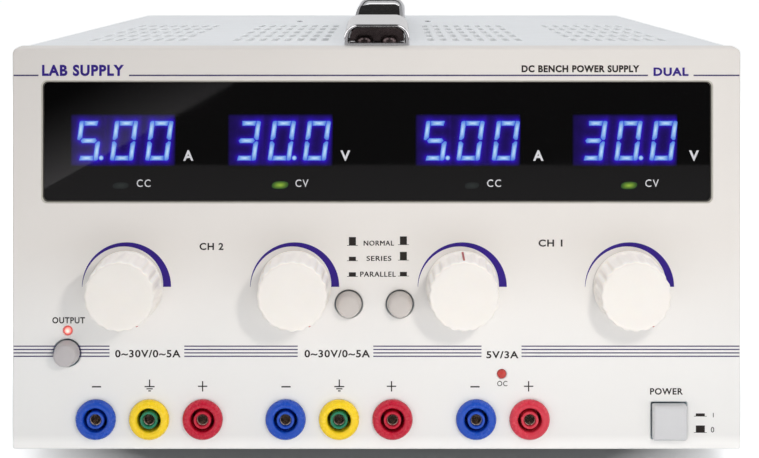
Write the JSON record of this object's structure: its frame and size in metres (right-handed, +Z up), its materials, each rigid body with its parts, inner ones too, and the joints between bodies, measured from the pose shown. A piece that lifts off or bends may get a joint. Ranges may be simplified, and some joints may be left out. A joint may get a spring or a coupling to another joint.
{
  "type": "bench power supply",
  "caption": "Bench DC power supply in a flat metal case: dark display window, rotary controls, push buttons, coloured safety sockets, top vents and a carrying strap.",
  "frame": {"origin": "centre of the bounding box, on the plane the feet stand on", "axes": "+Z up, front panel towards -Y, +X to the right of a person facing the panel; the longest extent runs along Y and the shortest along Z"},
  "size_m": [0.26, 0.3304, 0.1657],
  "materials": {
    "bezel_plastic": "fine satin moulding grain",
    "cover_paint": "fine orange-peel powder coat",
    "zinc_steel": "zinc plated, satin",
    "window_plastic": "polished dark acrylic",
    "foot_rubber": "matt",
    "cap_chrome": "bright plated",
    "guard_wire": "bright plated wire",
    "strap_vinyl": "leather-grained black vinyl",
    "knob_plastic": "satin",
    "pot_metal": "satin",
    "button_plastic": "satin",
    "power_plastic": "satin",
    "switch_plastic": "satin",
    "socket_blue": "glossy moulding",
    "socket_yellow": "glossy moulding",
    "socket_red": "glossy moulding",
    "led_lit": "clear tinted epoxy, lit",
    "led_dark": "tinted epoxy, unlit",
    "display_module": "dark face with lit segments",
    "board_laminate": "green solder resist",
    "capacitor_sleeve": "shrink sleeve",
    "heatsink_aluminium": "extruded, satin",
    "fan_plastic": "moulded, satin",
    "inlet_plastic": "moulded, satin",
    "core_laminations": "stacked sheet edges, lacquered",
    "coil_wrap": "amber insulating tape over the winding"
  },
  "bodies": {
    "case": {"capacitor_1": "capacitor_sleeve", "capacitor_2": "capacitor_sleeve", "chassis_base": "zinc_steel", "display_1": "display_module", "display_2": "display_module", "display_3": "display_module", "display_4": "display_module", "display_board": "board_laminate", "display_window": "window_plastic", "fan_frame": "fan_plastic", "fan_guard": "guard_wire", "foot_front_left": "foot_rubber", "foot_front_right": "foot_rubber", "foot_rear_left": "foot_rubber", "foot_rear_right": "foot_rubber", "front_bezel": "bezel_plastic", "handle_cap_front": "cap_chrome", "handle_cap_rear": "cap_chrome", "heat_sink": "heatsink_aluminium", "led_output": "led_lit", "led_overcurrent": "led_dark", "main_board": "board_laminate", "mains_inlet": "inlet_plastic", "pot_body_1": "pot_metal", "pot_body_2": "pot_metal", "pot_body_3": "pot_metal", "pot_body_4": "pot_metal", "rear_panel": "zinc_steel", "socket_aux_neg": "socket_blue", "socket_aux_pos": "socket_red", "socket_ch1_gnd": "socket_yellow", "socket_ch1_neg": "socket_blue", "socket_ch1_pos": "socket_red", "socket_ch2_gnd": "socket_yellow", "socket_ch2_neg": "socket_blue", "socket_ch2_pos": "socket_red", "switch_output": "switch_plastic", "switch_power": "switch_plastic", "switch_track_left": "switch_plastic", "switch_track_right": "switch_plastic", "top_cover": "cover_paint", "transformer_coil": "coil_wrap", "transformer_core": "core_laminations"},
    "control_1": {"knob_1": "knob_plastic", "pot_shaft_1": "pot_metal"},
    "control_2": {"knob_2": "knob_plastic", "pot_shaft_2": "pot_metal"},
    "control_3": {"knob_3": "knob_plastic", "pot_shaft_3": "pot_metal"},
    "control_4": {"knob_4": "knob_plastic", "pot_shaft_4": "pot_metal"},
    "track_left": {"button_track_left": "button_plastic"},
    "track_right": {"button_track_right": "button_plastic"},
    "output_key": {"button_output": "button_plastic"},
    "power_key": {"button_power": "power_plastic"},
    "fan": {"fan_rotor": "fan_plastic"},
    "grip": {"strap_grip": "strap_vinyl"},
    "strap_end_front": {"strap_front": "strap_vinyl"},
    "strap_end_rear": {"strap_rear": "strap_vinyl"},
    "drawer": {"fuse_drawer": "inlet_plastic"}
  },
  "joints": [
    {"name": "knob_1_turn", "type": "hinge", "parent": "case", "child": "control_1", "pos_m": [-0.0892, -0.14815, 0.07], "axis": [0, -1, 0], "range_deg": [0, 300]},
    {"name": "knob_2_turn", "type": "hinge", "parent": "case", "child": "control_2", "pos_m": [-0.0292, -0.14815, 0.07], "axis": [0, -1, 0], "range_deg": [0, 300]},
    {"name": "knob_3_turn", "type": "hinge", "parent": "case", "child": "control_3", "pos_m": [0.0306, -0.14815, 0.07], "axis": [0, -1, 0], "range_deg": [-150, 150]},
    {"name": "knob_4_turn", "type": "hinge", "parent": "case", "child": "control_4", "pos_m": [0.0903, -0.14815, 0.07], "axis": [0, -1, 0], "range_deg": [0, 300]},
    {"name": "track_left_press", "type": "slide", "parent": "case", "child": "track_left", "axis": [0, 1, 0], "range_m": [0, 0.003], "stiffness_N_per_m": 400, "springref_m": -0.0005},
    {"name": "track_right_press", "type": "slide", "parent": "case", "child": "track_right", "axis": [0, 1, 0], "range_m": [0, 0.003], "stiffness_N_per_m": 400, "springref_m": -0.0005},
    {"name": "output_press", "type": "slide", "parent": "case", "child": "output_key", "axis": [0, 1, 0], "range_m": [0, 0.003], "stiffness_N_per_m": 400, "springref_m": -0.0005},
    {"name": "power_press", "type": "slide", "parent": "case", "child": "power_key", "axis": [0, 1, 0], "range_m": [0, 0.003], "stiffness_N_per_m": 500, "springref_m": -0.0005},
    {"name": "fan_spin", "type": "hinge", "parent": "case", "child": "fan", "pos_m": [-0.062, 0.15065, 0.084], "axis": [0, 1, 0], "continuous": true},
    {"name": "handle_lift", "type": "slide", "parent": "case", "child": "grip", "axis": [0, 0, 1], "range_m": [0, 0.018]},
    {"name": "strap_front_bend", "type": "hinge", "parent": "grip", "child": "strap_end_front", "pos_m": [0, -0.0465, 0.1617], "axis": [1, 0, 0], "range_deg": [0, 16.2]},
    {"name": "strap_rear_bend", "type": "hinge", "parent": "grip", "child": "strap_end_rear", "pos_m": [0, 0.0685, 0.1617], "axis": [-1, 0, 0], "range_deg": [0, 16.2]},
    {"name": "fuse_drawer_pull", "type": "slide", "parent": "case", "child": "drawer", "axis": [0, 1, 0], "range_m": [0, 0.02]}
  ],
  "couplings": [
    {"joint": "strap_front_bend", "follows": "handle_lift", "rad_per_m": 15.369},
    {"joint": "strap_rear_bend", "follows": "handle_lift", "rad_per_m": 15.369}
  ]
}
